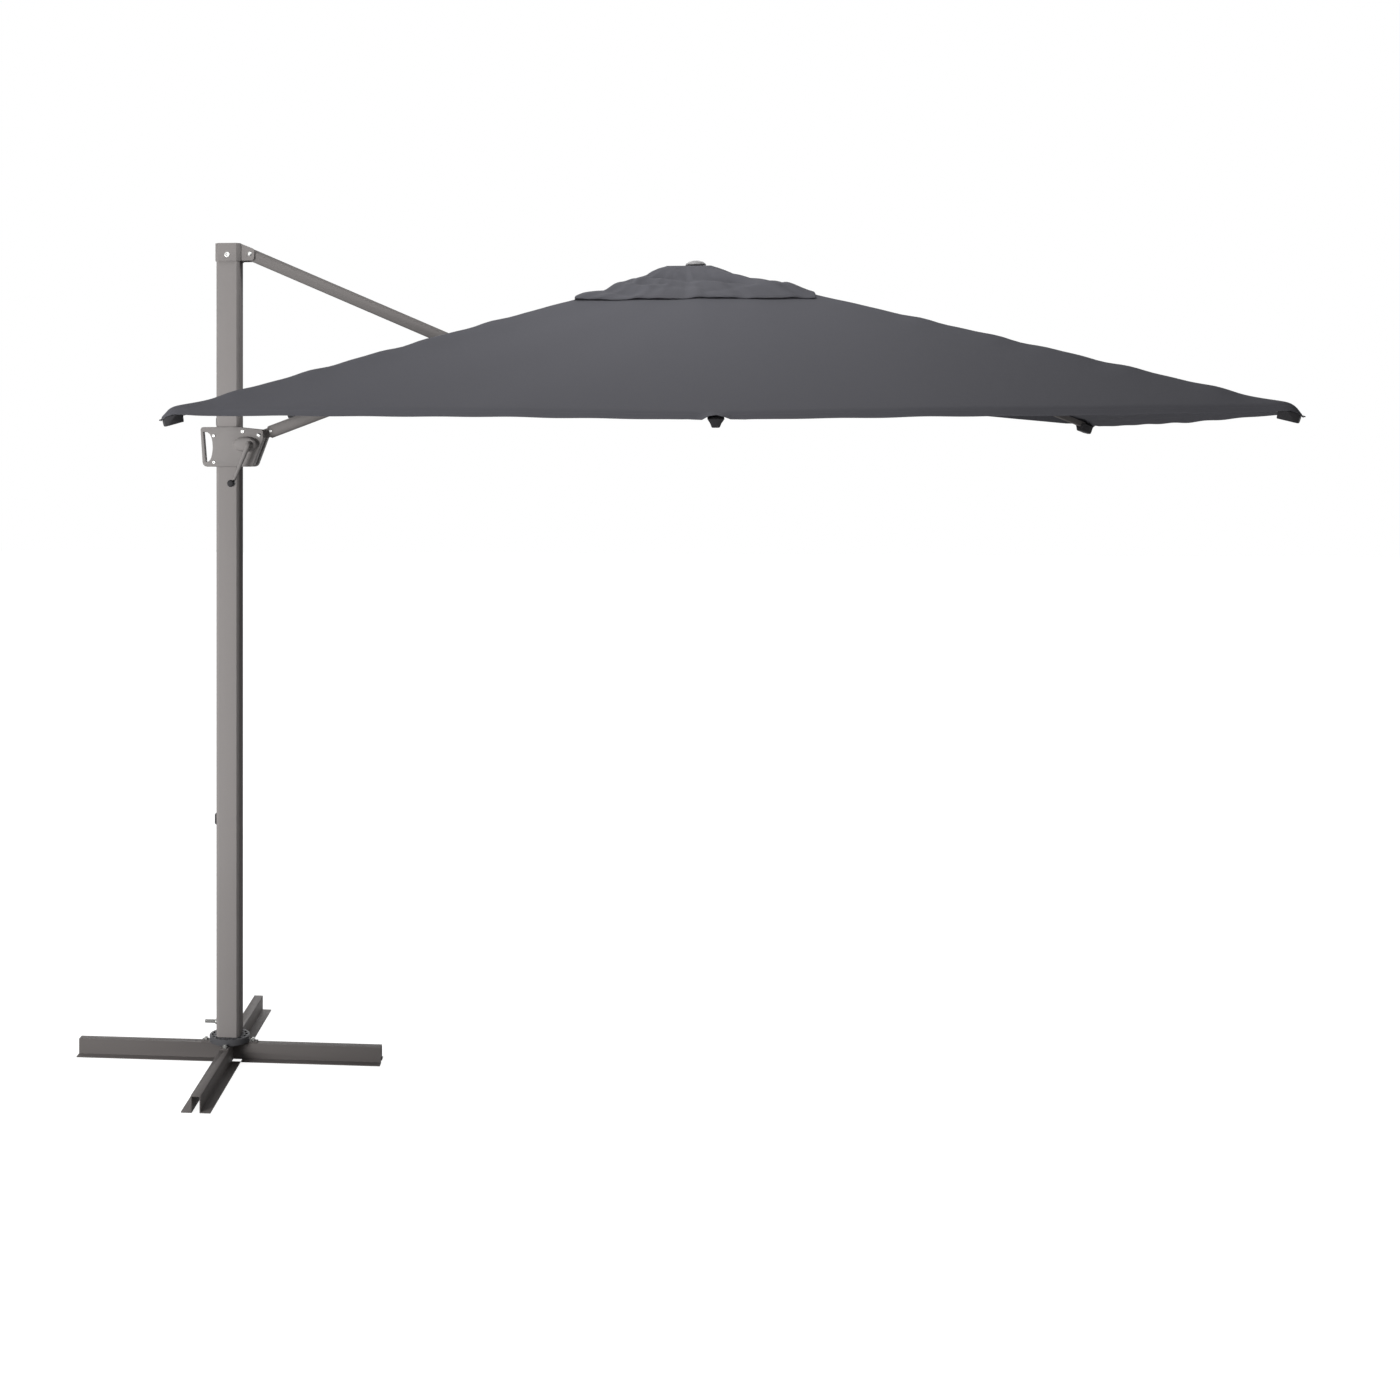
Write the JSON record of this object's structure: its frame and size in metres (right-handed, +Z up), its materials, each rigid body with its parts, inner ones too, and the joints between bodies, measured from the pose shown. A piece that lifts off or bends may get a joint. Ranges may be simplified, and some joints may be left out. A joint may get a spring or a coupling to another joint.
{
  "type": "cantilever parasol",
  "caption": "Rectangular cantilever parasol with a cross base, swivelling square mast, folding arm and crank-wound canopy with a vented top.",
  "frame": {"origin": "on the floor under the middle of the bounding box, so the mast stands towards -X and the canopy towards +X", "axes": "+X from the mast to the canopy along the arm, +Y to the far side, away from the crank, +Z up"},
  "size_m": [3.512, 2, 2.6605],
  "materials": {
    "taupe_powder_coat": "satin",
    "dark_taupe_coat": "satin",
    "dark_plastic": "matte",
    "grey_plastic": "satin",
    "zinc_plated": "satin",
    "pale_grey_plastic": "satin",
    "canopy_cloth": "matte"
  },
  "bodies": {
    "base": {"leg_along": "dark_taupe_coat", "leg_across": "dark_taupe_coat", "foot_plate": "dark_taupe_coat", "swivel_ring": "dark_plastic", "base_bolt_1": "zinc_plated", "base_bolt_2": "zinc_plated", "base_bolt_3": "zinc_plated", "base_bolt_4": "zinc_plated"},
    "mast": {"mast_tube": "taupe_powder_coat", "mast_bush": "dark_plastic", "head_cap": "taupe_powder_coat", "strut_pin": "zinc_plated", "upper_stop": "dark_plastic", "lower_stop": "dark_plastic"},
    "lock_bolt": {"lock_bolt": "zinc_plated"},
    "strut": {"strut_tube": "taupe_powder_coat", "strut_top_eye": "taupe_powder_coat", "strut_lower_eye": "taupe_powder_coat"},
    "arm": {"arm_tube": "taupe_powder_coat", "arm_root_eye": "taupe_powder_coat", "elbow_saddle": "taupe_powder_coat", "elbow_pin": "zinc_plated", "arm_tip_fork": "taupe_powder_coat", "tip_pin": "zinc_plated"},
    "carriage": {"carriage_front": "grey_plastic", "carriage_back": "grey_plastic", "arm_pin": "zinc_plated"},
    "crank": {"crank_arm": "grey_plastic", "drum_shaft": "zinc_plated"},
    "knob": {"crank_knob": "dark_plastic"},
    "hub": {"crown": "dark_plastic", "finial": "pale_grey_plastic", "vent_cloth": "canopy_cloth"},
    "runner": {"runner": "dark_plastic"},
    "rib_near_left": {"rib_near_left": "taupe_powder_coat", "end_cap_near_left": "dark_plastic", "petal_near_left": "canopy_cloth"},
    "stretcher_near_left": {"stretcher_near_left": "taupe_powder_coat"},
    "rib_near_mid": {"rib_near_mid": "taupe_powder_coat", "end_cap_near_mid": "dark_plastic", "petal_near_mid": "canopy_cloth"},
    "stretcher_near_mid": {"stretcher_near_mid": "taupe_powder_coat"},
    "rib_near_right": {"rib_near_right": "taupe_powder_coat", "end_cap_near_right": "dark_plastic", "petal_near_right": "canopy_cloth"},
    "stretcher_near_right": {"stretcher_near_right": "taupe_powder_coat"},
    "rib_far_right": {"rib_far_right": "taupe_powder_coat", "end_cap_far_right": "dark_plastic", "petal_far_right": "canopy_cloth"},
    "stretcher_far_right": {"stretcher_far_right": "taupe_powder_coat"},
    "rib_far_mid": {"rib_far_mid": "taupe_powder_coat", "end_cap_far_mid": "dark_plastic", "petal_far_mid": "canopy_cloth"},
    "stretcher_far_mid": {"stretcher_far_mid": "taupe_powder_coat"},
    "rib_far_left": {"rib_far_left": "taupe_powder_coat", "end_cap_far_left": "dark_plastic", "petal_far_left": "canopy_cloth"},
    "stretcher_far_left": {"stretcher_far_left": "taupe_powder_coat"}
  },
  "joints": [
    {"name": "mast_swivel", "type": "hinge", "parent": "base", "child": "mast", "pos_m": [-1.256, 0, 0.0769], "axis": [0, 0, 1], "continuous": true},
    {"name": "lock_bolt_turn", "type": "hinge", "parent": "mast", "child": "lock_bolt", "pos_m": [-1.294, 0, 0.1169], "axis": [-1, 0, 0], "continuous": true},
    {"name": "arm_fold", "type": "hinge", "parent": "mast", "child": "strut", "pos_m": [-1.186, 0, 2.626], "axis": [0, 1, 0], "range_deg": [0, 61.5], "deforming": ["petal_near_left", "petal_near_mid", "petal_near_right", "petal_far_right", "petal_far_mid", "petal_far_left", "vent_cloth"]},
    {"name": "elbow_turn", "type": "hinge", "parent": "strut", "child": "arm", "pos_m": [-0.49807, 0, 2.32716], "axis": [0, 1, 0], "range_deg": [-125.44, 0.5]},
    {"name": "carriage_level", "type": "hinge", "parent": "arm", "child": "carriage", "pos_m": [-1.151, 0, 2.035], "axis": [0, 1, 0], "range_deg": [-0.5, 63.94]},
    {"name": "hub_level", "type": "hinge", "parent": "arm", "child": "hub", "pos_m": [0.129, 0, 2.51357], "axis": [0, 1, 0], "range_deg": [-0.5, 63.94]},
    {"name": "canopy_close", "type": "hinge", "parent": "hub", "child": "rib_near_left", "pos_m": [0.21773, -0.02552, 2.54657], "axis": [0.5547, -0.8321, 0], "range_deg": [0, 66.81], "deforming": ["petal_near_left", "petal_near_mid", "petal_near_right", "petal_far_right", "petal_far_mid", "petal_far_left"]},
    {"name": "stretcher_fold_near_left", "type": "hinge", "parent": "rib_near_left", "child": "stretcher_near_left", "pos_m": [-0.17984, -0.29056, 2.39819], "axis": [0.5547, -0.8321, 0], "range_deg": [-126.6, 0.5]},
    {"name": "rib_fold_near_mid", "type": "hinge", "parent": "hub", "child": "rib_near_mid", "pos_m": [0.256, -0.046, 2.54657], "axis": [1, 0, 0], "range_deg": [-0.5, 55.46]},
    {"name": "stretcher_fold_near_mid", "type": "hinge", "parent": "rib_near_mid", "child": "stretcher_near_mid", "pos_m": [0.256, -0.52166, 2.28355], "axis": [1, 0, 0], "range_deg": [-125.96, 0.5]},
    {"name": "rib_fold_near_right", "type": "hinge", "parent": "hub", "child": "rib_near_right", "pos_m": [0.29427, -0.02552, 2.54657], "axis": [0.5547, 0.8321, 0], "range_deg": [-0.5, 67.43]},
    {"name": "stretcher_fold_near_right", "type": "hinge", "parent": "rib_near_right", "child": "stretcher_near_right", "pos_m": [0.69176, -0.2905, 2.39931], "axis": [0.5547, 0.8321, 0], "range_deg": [-126.61, 0.5]},
    {"name": "rib_fold_far_right", "type": "hinge", "parent": "hub", "child": "rib_far_right", "pos_m": [0.29427, 0.02552, 2.54657], "axis": [-0.5547, 0.8321, 0], "range_deg": [-0.5, 67.31]},
    {"name": "stretcher_fold_far_right", "type": "hinge", "parent": "rib_far_right", "child": "stretcher_far_right", "pos_m": [0.69184, 0.29056, 2.39819], "axis": [-0.5547, 0.8321, 0], "range_deg": [-126.6, 0.5]},
    {"name": "rib_fold_far_mid", "type": "hinge", "parent": "hub", "child": "rib_far_mid", "pos_m": [0.256, 0.046, 2.54657], "axis": [-1, 0, 0], "range_deg": [-0.5, 59.91]},
    {"name": "stretcher_fold_far_mid", "type": "hinge", "parent": "rib_far_mid", "child": "stretcher_far_mid", "pos_m": [0.256, 0.52532, 2.32761], "axis": [-1, 0, 0], "range_deg": [-125.98, 0.5]},
    {"name": "rib_fold_far_left", "type": "hinge", "parent": "hub", "child": "rib_far_left", "pos_m": [0.21773, 0.02552, 2.54657], "axis": [-0.5547, -0.8321, 0], "range_deg": [-0.5, 69.3]},
    {"name": "stretcher_fold_far_left", "type": "hinge", "parent": "rib_far_left", "child": "stretcher_far_left", "pos_m": [-0.17828, 0.28952, 2.41647], "axis": [-0.5547, -0.8321, 0], "range_deg": [-126.87, 0.5]},
    {"name": "runner_slide", "type": "slide", "parent": "hub", "child": "runner", "axis": [0, 0, -1], "range_m": [-0.002, 0.63669]},
    {"name": "crank_turn", "type": "hinge", "parent": "carriage", "child": "crank", "pos_m": [-1.178, -0.0705, 2.006], "axis": [0, -1, 0], "range_deg": [-2, 2882]},
    {"name": "knob_spin", "type": "hinge", "parent": "crank", "child": "knob", "pos_m": [-1.22895, -0.0885, 1.8799], "axis": [0, -1, 0], "continuous": true}
  ],
  "couplings": [
    {"joint": "elbow_turn", "follows": "arm_fold", "ratio": -2.0315},
    {"joint": "carriage_level", "follows": "arm_fold", "ratio": 1.0315},
    {"joint": "hub_level", "follows": "arm_fold", "ratio": 1.0315},
    {"joint": "stretcher_fold_near_left", "follows": "canopy_close", "ratio": -1.8874},
    {"joint": "rib_fold_near_mid", "follows": "canopy_close", "ratio": 0.82259},
    {"joint": "stretcher_fold_near_mid", "follows": "canopy_close", "ratio": -1.8779},
    {"joint": "rib_fold_near_right", "follows": "canopy_close", "ratio": 1.0018},
    {"joint": "stretcher_fold_near_right", "follows": "canopy_close", "ratio": -1.8876},
    {"joint": "rib_fold_far_right", "follows": "canopy_close", "ratio": 1},
    {"joint": "stretcher_fold_far_right", "follows": "canopy_close", "ratio": -1.8874},
    {"joint": "rib_fold_far_mid", "follows": "canopy_close", "ratio": 0.88918},
    {"joint": "stretcher_fold_far_mid", "follows": "canopy_close", "ratio": -1.8783},
    {"joint": "rib_fold_far_left", "follows": "canopy_close", "ratio": 1.0298},
    {"joint": "stretcher_fold_far_left", "follows": "canopy_close", "ratio": -1.8915},
    {"joint": "runner_slide", "follows": "canopy_close", "m_per_rad": 0.54431},
    {"joint": "crank_turn", "follows": "canopy_close", "ratio": 43.108}
  ]
}
